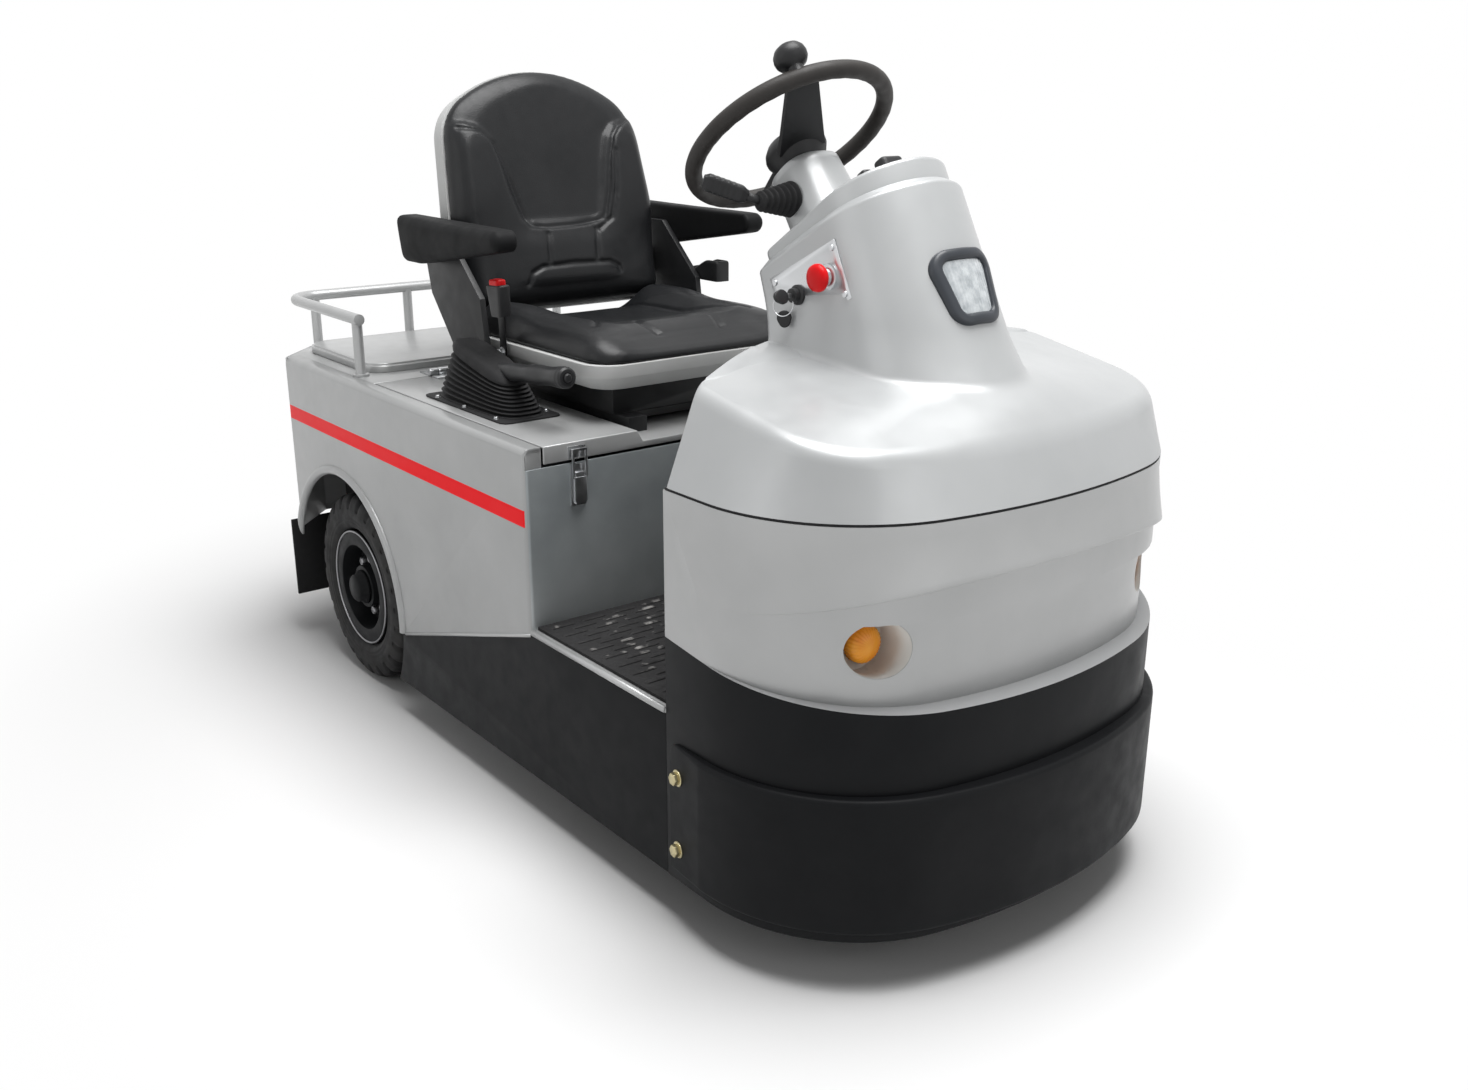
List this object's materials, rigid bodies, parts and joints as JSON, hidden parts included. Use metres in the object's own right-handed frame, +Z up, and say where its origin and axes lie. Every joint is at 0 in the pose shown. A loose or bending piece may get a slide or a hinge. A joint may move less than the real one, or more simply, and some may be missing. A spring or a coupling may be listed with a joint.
{
  "type": "airport baggage tug",
  "caption": "Seated electric tow tractor with a rounded nose, control tower, open step, rear deck with guard rail and a clevis hitch; it pulls baggage carts.",
  "frame": {"origin": "on the ground, below the middle of the overall length and width", "axes": "+X forwards, +Y to the driver's left, +Z up"},
  "size_m": [2.0499, 0.876, 1.3183],
  "materials": {
    "silver_paint": "satin metallic",
    "black_paint": "satin",
    "frame_paint": "matt",
    "rubber": "matt",
    "tyre": "matt",
    "vinyl": "satin",
    "grey_plastic": "satin",
    "black_plastic": "satin",
    "zinc": "bright",
    "amber": "gloss",
    "red": "gloss",
    "lens": "clear",
    "battery_case": "matt"
  },
  "bodies": {
    "chassis": {"chassis_frame": "frame_paint", "floor_plate": "silver_paint", "floor_mat": "rubber", "side_skirts": "black_paint", "side_panels": "silver_paint", "rear_panel": "silver_paint", "seat_box_front": "silver_paint", "rear_deck": "silver_paint", "tray_panel": "silver_paint", "hand_rail": "silver_paint", "mud_flaps": "rubber", "tow_hitch": "black_paint", "tail_lamps": "red", "battery": "battery_case", "drive_axle": "frame_paint", "nose_band": "black_paint", "front_bumper": "black_paint", "nose_shell": "silver_paint", "indicator_lamps": "amber", "nose_bulkhead": "black_paint", "nose_cover": "silver_paint", "dash_cap": "silver_paint", "control_plate": "zinc", "stop_button": "red", "key_switch": "black_plastic", "head_lamp": "black_plastic", "head_lamp_lens": "lens", "steering_column": "silver_paint", "shift_lever": "black_plastic", "pedals": "rubber", "lid_hinges": "zinc", "lid_latch": "zinc"},
    "seat_lid": {"seat_lid": "silver_paint", "lid_fittings": "zinc", "seat_slides": "black_paint", "seat_pan": "grey_plastic", "seat_cushion": "vinyl", "seat_frame": "black_paint", "seat_back_shell": "grey_plastic", "seat_back_cushion": "vinyl", "armrests": "vinyl", "seat_belt": "black_plastic", "brake_boot": "rubber", "brake_lever": "black_plastic"},
    "steering_wheel": {"steering_wheel": "black_plastic"},
    "steer_fork": {"steer_fork": "frame_paint"},
    "front_wheel": {"front_rim": "black_paint", "front_tyre": "tyre"},
    "rear_wheel_right": {"rear_rim_right": "black_paint", "rear_tyre_right": "tyre"},
    "rear_wheel_left": {"rear_rim_left": "black_paint", "rear_tyre_left": "tyre"}
  },
  "joints": [
    {"name": "rear_wheel_right_spin", "type": "hinge", "parent": "chassis", "child": "rear_wheel_right", "pos_m": [-0.587, -0.349, 0.2075], "axis": [0, 1, 0], "continuous": true},
    {"name": "rear_wheel_left_spin", "type": "hinge", "parent": "chassis", "child": "rear_wheel_left", "pos_m": [-0.587, 0.349, 0.2075], "axis": [0, 1, 0], "continuous": true},
    {"name": "fork_steer", "type": "hinge", "parent": "chassis", "child": "steer_fork", "pos_m": [0.8, 0, 0.4], "axis": [0, 0, 1], "range_deg": [-75, 75]},
    {"name": "front_wheel_spin", "type": "hinge", "parent": "steer_fork", "child": "front_wheel", "pos_m": [0.8, 0, 0.16], "axis": [0, 1, 0], "continuous": true},
    {"name": "steering_wheel_turn", "type": "hinge", "parent": "chassis", "child": "steering_wheel", "pos_m": [0.371, 0, 1.174], "axis": [-0.6293, 0, 0.7771], "range_deg": [-340, 340]},
    {"name": "lid_open", "type": "hinge", "parent": "chassis", "child": "seat_lid", "pos_m": [-0.4515, 0, 0.689], "axis": [0, -1, 0], "range_deg": [0, 60]}
  ],
  "couplings": [
    {"joint": "steering_wheel_turn", "follows": "fork_steer", "ratio": 4.5}
  ]
}
